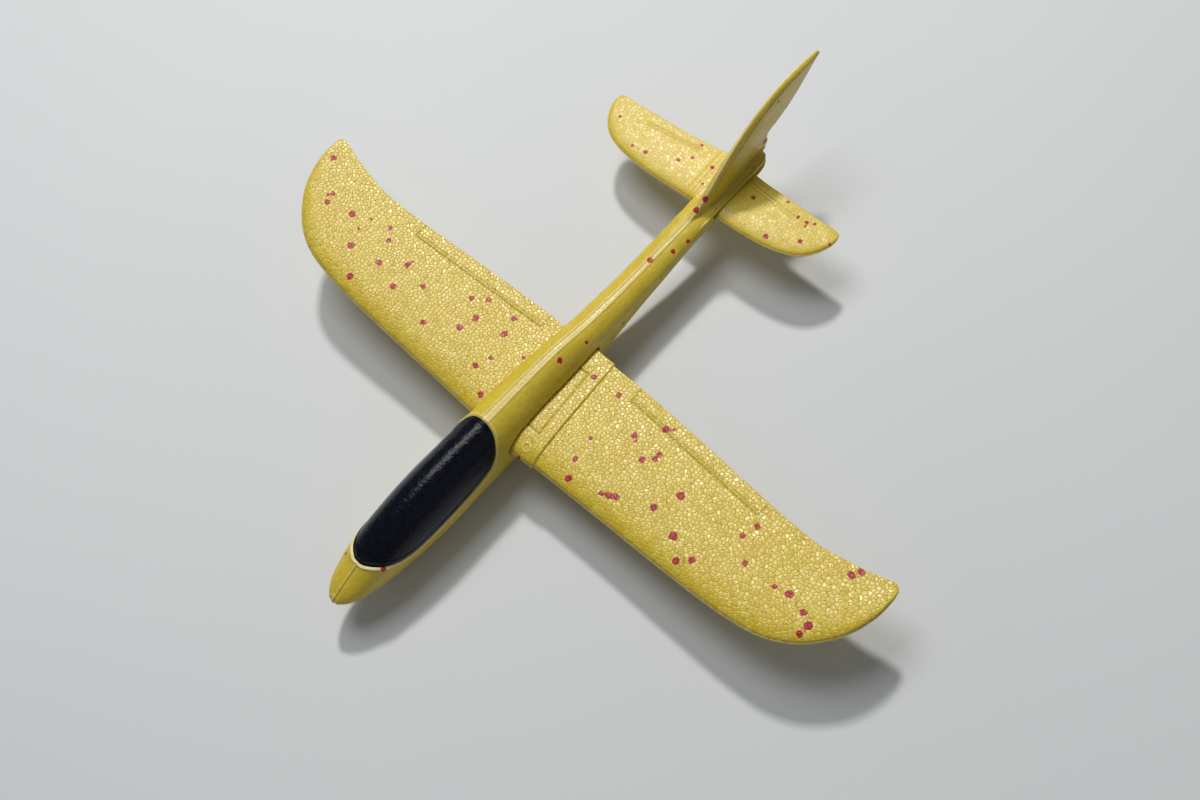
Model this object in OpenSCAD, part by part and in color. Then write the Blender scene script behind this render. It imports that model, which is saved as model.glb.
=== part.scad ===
// Hand-launch toy glider in moulded bead foam, knock-down: the one-piece wing and the one-piece
// tailplane push through slots in the fuselage, and a thin plastic canopy is glued over the nose.
// +X is the pilot's left (port) side, -Y is the nose, +Z is up. The origin is the middle of the
// flat rest under the belly.

/* [Wing] */
// Wing span, tip to tip
wing_span = 477; // [440:1:520]
// Wing chord at the root, leading edge to trailing edge
root_chord = 84.5; // [80:0.5:90]
// Wing thickness at the root
wing_thick = 9.5; // [8.5:0.25:10.5]
// Height of the bent-up wing tips above the wing root
tip_rise = 19; // [0:1:30]
// How far the raised root block stands out of the wing skin
block_rise = 1.2; // [0.9:0.1:1.6]
// Sideways place of the wing in its slot, 0 when centred
wing_shift = 15; // [0:0.5:16]
// Skew of the wing in its slot, seen from above
wing_yaw = 1.1; // [0:0.1:1.5]
// Lean of the wing in its slot, left tip down
wing_lean = 1.1; // [0:0.1:1.3]

/* [Tailplane] */
// Tailplane span, tip to tip
tail_span = 187; // [170:1:200]
// Tailplane chord at the root
tail_chord = 41; // [39:0.5:43]
// Tailplane thickness at the root
tail_thick = 5; // [4:0.25:5.5]
// Sideways place of the tailplane in its slot, 0 when centred
tail_shift = -11.5; // [-12:0.5:0]
// Skew of the tailplane in its slot, seen from above
tail_yaw = 2.8; // [0:0.1:3]
// Lean of the tailplane in its slot, left tip up
tail_lean = 1; // [0:0.1:1.2]

/* [Fin] */
// Height of the fin's tip above the flat rest
fin_top = 97; // [90:1:104]
// Fin thickness at its root
fin_thick = 8; // [6:0.25:9]
// Sideways set of the fin's tip, towards the left
fin_set = 2; // [0:0.5:3]

/* [Canopy] */
// Wall of the formed plastic canopy
canopy_wall = 1; // [0.8:0.1:1.2]
// Gap between the canopy and the foam under it, filled by the glue line
glue_gap = 0.3; // [0.2:0.05:0.4]

/* [Ballast] */
// Radius of the steel nose weight
ballast_r = 5; // [4:0.25:6]
// Length of the steel nose weight
ballast_h = 20; // [14:1:22]

/* [Fit] */
// Room round the wing's root block in its slot
wing_room = 0.9; // [0.8:0.1:1.2]
// Room above and below the tailplane in its slot
tail_room = 0.5; // [0.4:0.1:0.8]

/* [Hidden] */
$fn = 64;

foam = "#e3cd3c";
wing_z = 35;                 // wing plane above the rest
wing_pivot_y = 40;           // middle of the wing slot
slot_set = [0, -0.2, 0.2];   // the slot sits forward and high, to clear the wing's lean and skew
tail_z = 40;                 // tailplane plane above the rest
tail_pivot_y = 216;          // middle of the tailplane slot
ring_n = 36;                 // points round a fuselage section
side_n = 12;                 // steps along one side of a wing section
span_steps = 3;              // steps between two rows of a wing table
nose_y = -147;
nose_round = 34;             // length over which the nose closes
nose_z = 29;                 // height of the nose tip
end_y = 258;
end_round = 12;              // length over which the tail end closes
end_z = 40;
belly_flat = 0;              // height of the flat rest
far = 400;                   // longer than the model, for cutting tools

// Fuselage stations: [place along Y, half width, height of the widest line, top, bottom]. Each
// section is a half ellipse above its widest line and another below it; nose_round and end_round
// close the two ends.
STATIONS = [
  [-147, 15.5, 29.5, 37, 16], [-137, 15.7, 29.8, 39.3, 14.6], [-127, 15.5, 31.2, 41.7, 13.5],
  [-117.5, 16.1, 32.4, 45.5, 9.5], [-108, 17.1, 32.6, 50, 5.7], [-98, 17.9, 32, 53.3, 3],
  [-89, 18.5, 31.8, 55.6, 1.4], [-79, 19, 31.6, 57.4, 0.3], [-70, 19.4, 31.5, 58.7, -0.2],
  [-55, 19.6, 31.5, 59.6, -0.6], [-40, 19.4, 31.4, 59.6, -0.8], [-22, 19, 31.2, 59, -0.8],
  [-5, 18.8, 31.2, 58.3, -0.8], [15, 18.7, 31.2, 58, -0.8], [35, 17.4, 31.5, 57.6, -0.7],
  [50, 16.1, 32, 56.9, -0.1], [68, 14.5, 33.5, 54.8, 1.8], [82, 13.1, 36, 51.2, 4.6],
  [92, 12.7, 36.8, 49.5, 7], [105, 12.3, 36.7, 48.3, 10.6], [120, 11.8, 36.8, 47.4, 14.9],
  [135, 11.5, 37.4, 46.9, 18.6], [150, 11.3, 38.3, 46.6, 21.8], [168, 10.7, 40.2, 46.6, 24.8],
  [183, 10.3, 41.6, 47, 26.3], [205, 9.8, 42, 47.3, 27.2], [257, 8.8, 42, 47.6, 27.2]
];
// Lower edge of the canopy, seen from the side: [Y, Z]
CANOPY_EDGE = [
  [-120, 47], [-119, 44.8], [-116.5, 44.5], [-113, 43.4], [-108, 40.8], [-102, 37.6],
  [-96, 35.1], [-88, 33.3], [-78, 33], [-60, 33.9], [-42, 34.8], [-30, 36.1], [-21, 38.2],
  [-14, 43.2], [-9, 49.2], [-5, 54.6], [-1.6, 61]
];
// Half wing outline: [leading edge x, y, trailing edge x, y, thickness share]. Here x is a share
// of the half span and y a share of the root chord from the leading edge.
WING_ROWS = [
  [0, 0, 0, 0.984, 1], [0.167, 0.02, 0.167, 0.981, 1], [0.333, 0.034, 0.333, 0.959, 0.97],
  [0.5, 0.046, 0.5, 0.926, 0.93], [0.625, 0.059, 0.625, 0.899, 0.88],
  [0.729, 0.084, 0.717, 0.886, 0.83], [0.817, 0.134, 0.792, 0.885, 0.77],
  [0.888, 0.24, 0.854, 0.914, 0.7], [0.942, 0.394, 0.904, 0.941, 0.62],
  [0.975, 0.544, 0.942, 0.971, 0.54], [0.995, 0.72, 0.967, 0.988, 0.44],
  [1, 0.876, 0.981, 0.999, 0.3], [0.997, 0.965, 0.993, 0.985, 0.14]
];
TAIL_ROWS = [
  [0, 0, 0, 1, 1], [0.16, -0.015, 0.16, 0.971, 1], [0.32, -0.02, 0.32, 0.932, 0.98],
  [0.48, -0.012, 0.48, 0.917, 0.95], [0.62, 0.017, 0.62, 0.905, 0.9],
  [0.75, 0.08, 0.72, 0.898, 0.83], [0.86, 0.194, 0.81, 0.893, 0.75],
  [0.94, 0.376, 0.88, 0.893, 0.65], [0.985, 0.57, 0.935, 0.898, 0.55],
  [1, 0.718, 0.97, 0.89, 0.4], [0.992, 0.85, 0.984, 0.878, 0.2]
];
// Fin outline: [leading edge y, z, trailing edge y, z, thickness share]. z is a share of the
// height from fin_base to fin_top.
FIN_ROWS = [
  [177, -0.12, 259, -0.12, 1], [193, 0.03, 262, -0.02, 1], [207, 0.25, 261, 0.09, 0.95],
  [221, 0.48, 263, 0.17, 0.87], [236, 0.7, 270, 0.22, 0.79], [249, 0.85, 281, 0.32, 0.71],
  [262, 0.95, 291, 0.48, 0.63], [275, 1, 299, 0.64, 0.55], [288, 1, 305, 0.77, 0.46],
  [300, 0.975, 309.5, 0.86, 0.36], [308, 0.955, 310.8, 0.9, 0.14]
];
fin_base = 50;
wing_le = -3.2;              // wing root leading edge
tail_le = 200;               // tailplane root leading edge
block_half_le = 20.2;        // half width of the wing's root block at its front
block_half_te = 14.5;        // and at its rear
tail_block_half = 7;
tail_block_rise = 0.5;
slot_mouth_y = 280;          // the tailplane slot runs out of the tail end

// Smooth curve through the rows of a table, as a value at row number t.
function between(a, b, c, d, u) =
  0.5 * (2 * b + (c - a) * u + (2 * a - 5 * b + 4 * c - d) * u * u
    + (3 * b - a - 3 * c + d) * u * u * u);
function row_at(rows, t) =
  let (n = len(rows) - 1, i = min(floor(t), n - 1), u = t - i)
  between(i > 0 ? rows[i - 1] : 2 * rows[0] - rows[1], rows[i], rows[i + 1],
    i + 2 <= n ? rows[i + 2] : 2 * rows[n] - rows[n - 1], u);
// Row number in a table whose first column rises, at place y.
function row_number(rows, y, i = 0) =
  i >= len(rows) - 2 || y < rows[i + 1][0]
    ? i + (y - rows[i][0]) / (rows[i + 1][0] - rows[i][0])
    : row_number(rows, y, i + 1);
function ramp(y, from, to) = max(0, min(1, (y - from) / (to - from)));
function closing(d, length) = d >= length ? 1 : sqrt(max(0, 1 - pow(1 - d / length, 2)));

// One fuselage section at place y, drawn in by inset.
function section(y, inset) =
  let (
    s = row_at(STATIONS, row_number(STATIONS, y)),
    k = closing(y - nose_y, nose_round) * closing(end_y - y, end_round),
    mid = nose_z + (end_z - nose_z) * ramp(y, -30, 30),
    half = max(0.4, s[1] * k - inset),
    waist = mid + (s[2] - mid) * k,
    over = max(0.4, (s[3] - s[2]) * k - inset),
    under = max(0.4, (s[2] - s[4]) * k - inset)
  )
  [for (i = [0:ring_n - 1])
    let (a = 360 * i / ring_n)
    [half * cos(a), y, waist + (sin(a) > 0 ? over : under) * sin(a)]];

// Closed skin over a list of rings with equal numbers of points.
module skin(rings) {
  m = len(rings[0]);
  n = len(rings);
  polyhedron(
    points = [for (r = rings) each r],
    faces = concat(
      [[for (j = [m - 1:-1:0]) j]],
      [for (i = [0:n - 2]) for (j = [0:m - 1]) [i * m + j, i * m + (j + 1) % m, (i + 1) * m + j]],
      [for (i = [0:n - 2]) for (j = [0:m - 1])
        [(i + 1) * m + j, i * m + (j + 1) % m, (i + 1) * m + (j + 1) % m]],
      [[for (j = [0:m - 1]) (n - 1) * m + j]]
    )
  );
}

// Half thickness of a wing section at share u of its chord, blunt in front and thin behind.
function section_half(u) =
  sqrt(1 - pow(1 - min(u / 0.25, 1), 2.2)) * (1 - 0.66 * pow(max(0, u - 0.3) / 0.7, 1.3));
function chord_step(j) = (1 - cos(180 * j / side_n)) / 2;
// Section as [share of the chord, height]: over the top to the rear, and back underneath.
function wing_loop(thick) = concat(
  [for (j = [0:side_n]) [chord_step(j), 0.6 * thick * section_half(chord_step(j)) + 0.02]],
  [for (j = [side_n:-1:0]) [chord_step(j), -0.4 * thick * section_half(chord_step(j)) - 0.02]]
);
function rise_at(x, half, rise) = rise * (0.05 * abs(x) / half + 0.95 * pow(x / half, 2));

// Ring of a wing at row number t, on side s (+1 left, -1 right).
function wing_ring(rows, t, s, half, le, chord, thick, rise) =
  let (r = row_at(rows, t))
  [for (p = wing_loop(thick * r[4]))
    let (x = half * (r[0] + (r[2] - r[0]) * p[0]), y = le + chord * (r[1] + (r[3] - r[1]) * p[0]))
    [s * x, y, p[1] + rise_at(x, half, rise)]];

module foil(rows, span, le, chord, thick, rise) {
  last = (len(rows) - 1) * span_steps;
  skin([for (i = [-last:last])
    wing_ring(rows, abs(i) / span_steps, sign(i), span / 2, le, chord, thick, rise)]);
}

// Root section grown outwards by grow, as an outline in Y and Z.
function root_outline(le, chord, thick, grow) =
  [for (p = wing_loop(thick + 2 * grow)) [le - grow + (chord + 2 * grow) * p[0], p[1]]];

module along_x(length) {
  rotate([90, 0, 90]) linear_extrude(height = length, center = true) children();
}

module fin() {
  steps = (len(FIN_ROWS) - 1) * span_steps;
  tall = fin_top - fin_base;
  skin([for (i = [0:steps])
    let (r = row_at(FIN_ROWS, i / span_steps))
    [for (p = wing_loop(fin_thick * r[4]))
      let (side = p[1] > 0 ? -p[1] / 1.2 : -p[1] / 0.8, up = r[1] + (r[3] - r[1]) * p[0])
      [side + fin_set * max(0, up), r[0] + (r[2] - r[0]) * p[0], fin_base + tall * up]]]);
}

module body_form(inset, from, to, step) {
  skin([for (y = [from:step:to]) section(y, inset)]);
}

module whole_body() {
  nose_steps = 9;
  end_steps = 6;
  flat_from = nose_y + nose_round;
  flat_to = end_y - end_round;
  mid_steps = 58;
  skin(concat(
    [for (i = [0:nose_steps - 1])
      section(nose_y + nose_round * (1 - cos(90 * i / nose_steps)), 0)],
    [for (i = [0:mid_steps]) section(flat_from + (flat_to - flat_from) * i / mid_steps, 0)],
    [for (i = [1:end_steps]) section(flat_to + end_round * sin(90 * i / end_steps), 0)]
  ));
}

// Everything above the canopy's edge, grown by grow.
module canopy_region(grow) {
  edge = [for (i = [0:4 * (len(CANOPY_EDGE) - 1)]) row_at(CANOPY_EDGE, i / 4)];
  along_x(60)
    polygon(concat([for (p = edge) [p[0], p[1] - grow]], [[-1.6 + grow, 80], [-120 - grow, 80]]));
}

module fuselage() {
  color(foam) difference() {
    union() {
      whole_body();
      fin();
    }
    difference() {
      canopy_region(glue_gap);
      body_form(canopy_wall + glue_gap, -140, 20, 4);
    }
    translate([0, -95, 49.5 - ballast_h]) cylinder(r = ballast_r + 0.3, h = far);
    translate([0, 0, wing_z] + slot_set)
      along_x(far) polygon(root_outline(wing_le, root_chord, wing_thick, block_rise + wing_room));
    tail_slot();
    translate([-far / 2, -far / 2, belly_flat - far]) cube([far, far, far]);
  }
}

module tail_slot() {
  high = tail_thick + 2 * (tail_block_rise + tail_room);
  translate([-far / 2, tail_le - 2.2, tail_z - 0.42 * high])
    cube([far, slot_mouth_y - tail_le, high]);
}

module canopy() {
  color("#101114") intersection() {
    difference() {
      body_form(0, -140, 20, 4);
      body_form(canopy_wall, -144, 24, 4);
    }
    canopy_region(0);
  }
}

module nose_ballast() {
  color("#9a9da1") translate([0, -95, 50 - ballast_h]) cylinder(r = ballast_r, h = ballast_h);
}

module main_wing() {
  color(foam) translate([wing_shift, wing_pivot_y, wing_z]) rotate([0, wing_lean, wing_yaw])
    translate([0, -wing_pivot_y, 0]) {
      foil(WING_ROWS, wing_span, wing_le, root_chord, wing_thick, tip_rise);
      root_block();
    }
}

// Raised block in the middle of the wing, as wide as the fuselage and tapered like it.
module root_block() {
  front = wing_le - 5;
  back = wing_le + root_chord + 5;
  intersection() {
    along_x(3 * block_half_le)
      polygon(root_outline(wing_le, root_chord, wing_thick, block_rise));
    translate([0, 0, -20]) linear_extrude(height = 40)
      polygon([
        [-block_half_le, front], [block_half_le, front],
        [block_half_te, back], [-block_half_te, back]
      ]);
  }
}

module tailplane() {
  color(foam) translate([tail_shift, tail_pivot_y, tail_z]) rotate([0, -tail_lean, tail_yaw])
    translate([0, -tail_pivot_y, 0]) {
      foil(TAIL_ROWS, tail_span, tail_le, tail_chord, tail_thick, 0);
      along_x(2 * tail_block_half)
        polygon(root_outline(tail_le, tail_chord, tail_thick, tail_block_rise));
    }
}

fuselage();
canopy();
nose_ballast();
main_wing();
tailplane();
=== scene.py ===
"""Looks of the foam hand-launch glider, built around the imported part. Shapes are worked out in mm
and stored in metres, in the part's own frame: +X port, -Y nose, +Z up, origin under the belly."""

import math

import bpy
import numpy as np
from mathutils import Matrix, Vector
from mathutils.kdtree import KDTree


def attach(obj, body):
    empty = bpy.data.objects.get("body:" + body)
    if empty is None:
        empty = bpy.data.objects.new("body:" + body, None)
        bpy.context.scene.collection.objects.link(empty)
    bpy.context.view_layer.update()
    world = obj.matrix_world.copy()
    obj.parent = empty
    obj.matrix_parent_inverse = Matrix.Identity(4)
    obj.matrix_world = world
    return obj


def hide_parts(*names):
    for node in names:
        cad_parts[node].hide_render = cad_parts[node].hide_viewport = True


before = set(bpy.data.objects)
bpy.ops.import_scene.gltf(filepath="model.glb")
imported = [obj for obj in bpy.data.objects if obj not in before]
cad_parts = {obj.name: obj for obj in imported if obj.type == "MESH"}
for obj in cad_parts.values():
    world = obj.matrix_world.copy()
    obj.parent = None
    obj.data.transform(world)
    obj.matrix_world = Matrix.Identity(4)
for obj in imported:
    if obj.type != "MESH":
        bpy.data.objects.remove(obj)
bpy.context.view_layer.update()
MM = 0.001
FAR = 99.0  # for distances that matter only close by

# ---------------------------------------------------------------- sizes (mm), mostly the CAD's
WING_SPAN, ROOT_CHORD, WING_THICK, TIP_RISE, BLOCK_RISE = 477.0, 84.5, 9.5, 19.0, 1.2
WING_SHIFT, WING_YAW, WING_LEAN, WING_Z, WING_PIVOT = 15.0, 1.1, 1.1, 35.0, 40.0
WING_LE, TAIL_LE = -3.2, 200.0
TAIL_SPAN, TAIL_CHORD, TAIL_THICK = 187.0, 41.0, 5.0
TAIL_SHIFT, TAIL_YAW, TAIL_LEAN, TAIL_Z, TAIL_PIVOT = -11.5, 2.8, 1.0, 40.0, 216.0
FIN_BASE, FIN_TOP, FIN_THICK, FIN_SET = 50.0, 97.0, 8.0, 2.0
SLOT_ROOM, SLOT_FORWARD, SLOT_UP = 0.95, -0.2, 0.1  # a little more room than in the CAD
TAIL_SLOT_ABOVE, TAIL_SLOT_BELOW, TAIL_SLOT_FRONT = 3.9, 2.9, 2.2  # past TAIL_Z and TAIL_LE
WING_BLOCK, TAIL_BLOCK = (20.2, 14.5), (7.0, 7.0)  # half width of the root block, front and rear
ABOVE, BELOW = 0.6, 0.4  # shares of a foil's thickness above and below its chord line
EDGE = 0.02  # least half thickness of a foil
BLUNT_WING, BLUNT_FIN, BLUNT_SHARE = 0.9, 0.75, 0.02  # least thickness, reached at a chord share
NOSE_Y, NOSE_ROUND, NOSE_Z, END_Y, END_ROUND, END_Z = -147.0, 34.0, 29.0, 258.0, 12.0, 40.0
POCKET_R, POCKET_Y, POCKET_FLOOR = 5.3, -95.0, 29.5
CANOPY_OUTER, CANOPY_INNER, RECESS_DEPTH, RECESS_GAP = 0.25, 1.15, 1.3, 0.2
TAIL_PAD = (225.0, 40.4, 35.5, 6.2, 5.5)  # y, z, half length, half height and corner radius
WING_PAD = (WING_LE + ROOT_CHORD / 2, WING_Z + 0.6, ROOT_CHORD / 2 + 4.5, 9.0, 6.0)
SPINE_START, SPINE_END = (-5.0, 2.8), (175.0, 1.3)  # y and half the distance between its ridges
PAST_SIDE, PAST_END, PAST_UNDER, PAST_TOP = 60.0, 300.0, 40.0, 90.0  # reach of the cutters
RECESS_REACH, RECESS_TOP, RECESS_FRONT, RECESS_REAR = 30.0, 80.0, -142.0, 20.01

STATIONS = np.array([  # [y, half width, height of the widest line, top, bottom]
    [-147, 15.5, 29.5, 37, 16], [-137, 15.7, 29.8, 39.3, 14.6], [-127, 15.5, 31.2, 41.7, 13.5],
    [-117.5, 16.1, 32.4, 45.5, 9.5], [-108, 17.1, 32.6, 50, 5.7], [-98, 17.9, 32, 53.3, 3],
    [-89, 18.5, 31.8, 55.6, 1.4], [-79, 19, 31.6, 57.4, 0.3], [-70, 19.4, 31.5, 58.7, -0.2],
    [-55, 19.6, 31.5, 59.6, -0.6], [-40, 19.4, 31.4, 59.6, -0.8], [-22, 19, 31.2, 59, -0.8],
    [-5, 18.8, 31.2, 58.3, -0.8], [15, 18.7, 31.2, 58, -0.8], [35, 17.4, 31.5, 57.6, -0.7],
    [50, 16.1, 32, 56.9, -0.1], [68, 14.5, 33.5, 54.8, 1.8], [82, 13.1, 36, 51.2, 4.6],
    [92, 12.7, 36.8, 49.5, 7], [105, 12.3, 36.7, 48.3, 10.6], [120, 11.8, 36.8, 47.4, 14.9],
    [135, 11.5, 37.4, 46.9, 18.6], [150, 11.3, 38.3, 46.6, 21.8], [168, 10.7, 40.2, 46.6, 24.8],
    [183, 10.3, 41.6, 47, 26.3], [205, 9.8, 42, 47.3, 27.2], [257, 8.8, 42, 47.6, 27.2]])
CANOPY_EDGE = np.array([
    [-120, 47], [-119, 44.8], [-116.5, 44.5], [-113, 43.4], [-108, 40.8], [-102, 37.6],
    [-96, 35.1], [-88, 33.3], [-78, 33], [-60, 33.9], [-42, 34.8], [-30, 36.1], [-21, 38.2],
    [-14, 43.2], [-9, 49.2], [-5, 54.6], [-1.6, 61]])
WING_ROWS = np.array([
    [0, 0, 0, 0.984, 1], [0.167, 0.02, 0.167, 0.981, 1], [0.333, 0.034, 0.333, 0.959, 0.97],
    [0.5, 0.046, 0.5, 0.926, 0.93], [0.625, 0.059, 0.625, 0.899, 0.88],
    [0.729, 0.084, 0.717, 0.886, 0.83], [0.817, 0.134, 0.792, 0.885, 0.77],
    [0.888, 0.24, 0.854, 0.914, 0.7], [0.942, 0.394, 0.904, 0.941, 0.62],
    [0.975, 0.544, 0.942, 0.971, 0.54], [0.995, 0.72, 0.967, 0.988, 0.44],
    [1, 0.876, 0.981, 0.999, 0.3], [0.997, 0.965, 0.993, 0.985, 0.14]])
TAIL_ROWS = np.array([
    [0, 0, 0, 1, 1], [0.16, -0.015, 0.16, 0.971, 1], [0.32, -0.02, 0.32, 0.932, 0.98],
    [0.48, -0.012, 0.48, 0.917, 0.95], [0.62, 0.017, 0.62, 0.905, 0.9],
    [0.75, 0.08, 0.72, 0.898, 0.83], [0.86, 0.194, 0.81, 0.893, 0.75],
    [0.94, 0.376, 0.88, 0.893, 0.65], [0.985, 0.57, 0.935, 0.898, 0.55],
    [1, 0.718, 0.97, 0.89, 0.4], [0.992, 0.85, 0.984, 0.878, 0.2]])
FIN_ROWS = np.array([
    [177, -0.12, 259, -0.12, 1], [193, 0.03, 262, -0.02, 1], [207, 0.25, 261, 0.09, 0.95],
    [221, 0.48, 263, 0.17, 0.87], [236, 0.7, 270, 0.22, 0.79], [249, 0.85, 281, 0.32, 0.71],
    [262, 0.95, 291, 0.48, 0.63], [275, 1, 299, 0.64, 0.55], [288, 1, 305, 0.77, 0.46],
    [300, 0.975, 309.5, 0.86, 0.36], [308, 0.955, 310.8, 0.9, 0.14]])

# Marks of the mould, in the frames of the wing and the tailplane before they are seated.
PANEL_FRONT, PANEL_REAR, PANEL_HALF, PANEL_TAPER = 15.6, 64.0, 10.6, 3.9 / 48.3
BOSSES = [[10.2, 4.4, 2.6, 0.45], [2.9, 33.3, 1.5, 0.3], [12.3, 41.2, 1.2, 0.25],
          [12.8, 23.8, 1.2, 0.25], [4.4, 67.8, 2.1, 0.3]]  # [x, y, radius, height]
AILERON_IN, AILERON_OUT = (39.7, 69.2), (148.3, 62.3)  # ends of the hinge groove
ELEVATOR_IN, ELEVATOR_OUT, ELEVATOR_SLOPE = (19.3, 233.8), 62.0, -0.094

# Crimson beads: [x, y, radius] on the upper side of the wing and tailplane, in their own frames.
WING_BEADS = [
    [-230, 66, 1.9], [-211, 47, 1.4], [-210, 40, 1.6], [-213, 44, 1], [-191, 45, 2.1],
    [-175, 28, 2.2], [-179, 51, 0.8], [-180, 40, 0.8], [-165, 55, 1.5], [-160, 12, 2.1],
    [-159, 48, 1.5], [-152, 32, 2], [-137, 43, 1.7], [-136, 47, 0.9], [-133, 26, 2],
    [-118, 39, 1.7], [-100, 21, 1.8], [-88, 54, 1.7], [-79, 34, 2], [-79, 61, 1.7],
    [-76, 46, 2], [-57, 62, 1.7], [-54, 50, 2], [-53, 22, 1.6], [-49, 32, 1.4], [-37, 10, 1.8],
    [-33, 46, 1.3], [-24, 67, 1.3], [-31, 24, 1], [11, 65, 1.7], [31, 67, 1.7], [37, 34, 1.2],
    [39, 18, 1.5], [44, 6, 1.9], [57, 53, 1.7], [60, 51, 1], [67, 12, 1.5], [69, 69, 2.1],
    [71, 44, 1.9], [71, 14, 2], [75, 16, 1.8], [73, 72, 1.2], [77, 54, 1.5], [77, 50, 1.5],
    [97, 26, 2.1], [105, 42, 2.4], [118, 20, 2.3], [129, 10, 1.9], [136, 16, 1.9],
    [149, 47, 1.7], [152, 57, 1.6], [161, 35, 1.6], [183, 35, 1.4], [192, 37, 2.1],
    [205, 34, 1.8], [211, 23, 1.8], [212, 30, 2.3], [212, 69, 2.1], [215, 74, 1.9],
    [9.5, -3, 1.5]]
TAIL_BEADS = [
    [-81, 221, 1.2], [-59, 208, 1.4], [-48, 209, 1.8], [-26, 217, 1.4], [-20, 224, 1.4],
    [-21, 236, 1.3], [-4, 226, 1.4], [-1, 212, 1], [32, 224, 1.6], [52, 235, 1], [56, 206, 1.8],
    [76, 216, 1.6], [64, 230, 1.2], [72, 227, 1.1], [71, 230, 1.5], [75.5, 232, 1.1],
    [92, 226, 1.1]]
WING_BEAD_SPREAD = 1.18  # the wing's crimson beads reach this much past their radius
UNDERSIDE = 400.0  # added to y for the beads of an underside, which keeps them from the top's
BODY_BEADS = [  # [x, y, z, radius]
    [0.5, 192, 51.5, 2.1], [2, 200, 55, 2.2], [0, 147, 47, 1.9], [9, 78, 48, 1.5],
    [13, 81, 34, 0.8], [12, 107, 34, 1.2], [12, 97, 27, 1], [11, 145, 38, 0.9], [7, 162, 45, 1.6],
    [9, 174, 44, 1.4], [7, 57, 54, 2], [-18, -6, 37, 1.5], [-12, 22, 52, 1],
    [14, -111, 41, 1.8], [-11, -120, 40, 1.3], [1.5, 258.5, 52, 2.1], [2.5, 269, 87, 2.3],
    [2, 279, 68, 1.2], [2, 268, 63, 1.2], [17, 8, 12, 1.6], [18, -45, 12, 1.9],
    [-17, -70, 14, 1.8], [-15, -20, 12, 1.4], [-16, 30, 16, 1.8], [-13, 74, 20, 1.7],
    [-11, 120, 30, 1.5], [-10, 168, 40, 1.6], [-4, 232, 70, 1.8], [-3, 250, 86, 1.5],
    [-15, -105, 26, 1.7], [3, -90, 2, 1.9], [-6, -20, 0, 1.6], [7, 40, 0, 1.8],
    [-2, 120, 15, 1.6], [3, 240, 27, 1.5]]


# ---------------------------------------------------------------- curves and sections
def curve(rows, t):
    """Catmull-Rom values of a table at row numbers t."""
    n = len(rows) - 1
    t = np.asarray(t, float)
    i = np.clip(np.floor(t).astype(int), 0, n - 1)
    u = (t - i)[..., None]
    ext = np.vstack([2 * rows[0] - rows[1], rows, 2 * rows[n] - rows[n - 1]])
    a, b, c, d = ext[i], ext[i + 1], ext[i + 2], ext[i + 3]
    return 0.5 * (2 * b + (c - a) * u + (2 * a - 5 * b + 4 * c - d) * u**2
                  + (3 * b - a - 3 * c + d) * u**3)


def ramp(v, lo, hi):
    return np.clip((v - lo) / (hi - lo), 0, 1)


def smooth(v, lo, hi):
    t = ramp(v, lo, hi)
    return t * t * (3 - 2 * t)


def bump(v, width):
    return np.exp(-((v / width) ** 2))


def by_place(table, y, fair=0.0):
    """Columns 1.. of a table at places y along its first column, faired over a length in mm."""
    ys = np.arange(table[0, 0], table[-1, 0] + 0.25, 0.5)
    v = curve(table, np.interp(ys, table[:, 0], np.arange(len(table))))[:, 1:]
    if fair:
        reach = int(4 * fair)
        kernel = np.exp(-0.5 * (np.arange(-reach, reach + 1) * 0.5 / fair) ** 2)
        kernel /= kernel.sum()
        lead = v[0] + (v[0] - v[1]) * np.arange(reach, 0, -1)[:, None]
        tail = v[-1] + (v[-1] - v[-2]) * np.arange(1, reach + 1)[:, None]
        padded = np.vstack([lead, v, tail])
        v = np.stack([np.convolve(padded[:, k], kernel, "valid") for k in range(v.shape[1])], 1)
    return np.stack([np.interp(y, ys, v[:, k]) for k in range(v.shape[1])], -1)


def closing(d, length):
    """How far a round end has opened at a distance d from its tip."""
    return np.sqrt(np.clip(1 - (1 - np.minimum(d / length, 1)) ** 2, 0, 1))


def body_section(y):
    """Half width, height of the widest line, top and bottom of the body at places y."""
    y = np.asarray(y, float)
    s = by_place(STATIONS, y, 4.0)
    k = closing(y - NOSE_Y, NOSE_ROUND) * closing(END_Y - y, END_ROUND)
    mid = NOSE_Z + (END_Z - NOSE_Z) * smooth(y, -30, 30)
    return (np.maximum(0.4, s[..., 0] * k), mid + (s[..., 1] - mid) * k,
            mid + (s[..., 2] - mid) * k, mid + (s[..., 3] - mid) * k)


def body_points(y, a, inset=0.0):
    """Points of the body's skin at places y and angles a (0 port, 90 degrees top)."""
    half, waist, top, bottom = body_section(y)
    c, d = np.cos(a), np.sin(a)
    tall = np.where(d > 0, top - waist, waist - bottom)
    x = np.maximum(0.4, half - inset) * c
    z = waist + np.maximum(0.4, tall - inset) * d
    return np.stack(np.broadcast_arrays(x, y, z), -1)


def canopy_edge(steps):
    """The canopy's lower edge from front to rear, in y and z."""
    return curve(CANOPY_EDGE, np.linspace(0, len(CANOPY_EDGE) - 1, steps))


def section_half(u):
    """Thickness of a foil at chord shares u, as a share of its greatest."""
    return (np.sqrt(np.clip(1 - (1 - np.minimum(u / 0.25, 1)) ** 2.2, 0, 1))
            * (1 - 0.66 * (np.clip(u - 0.3, 0, 1) / 0.7) ** 1.3))


# ---------------------------------------------------------------- mesh helpers
def new_object(name, verts, faces):
    mesh = bpy.data.meshes.new(name)
    mesh.from_pydata(np.asarray(verts, float).tolist(), [], faces)
    mesh.update()
    obj = bpy.data.objects.new(name, mesh)
    bpy.context.scene.collection.objects.link(obj)
    return obj


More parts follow.
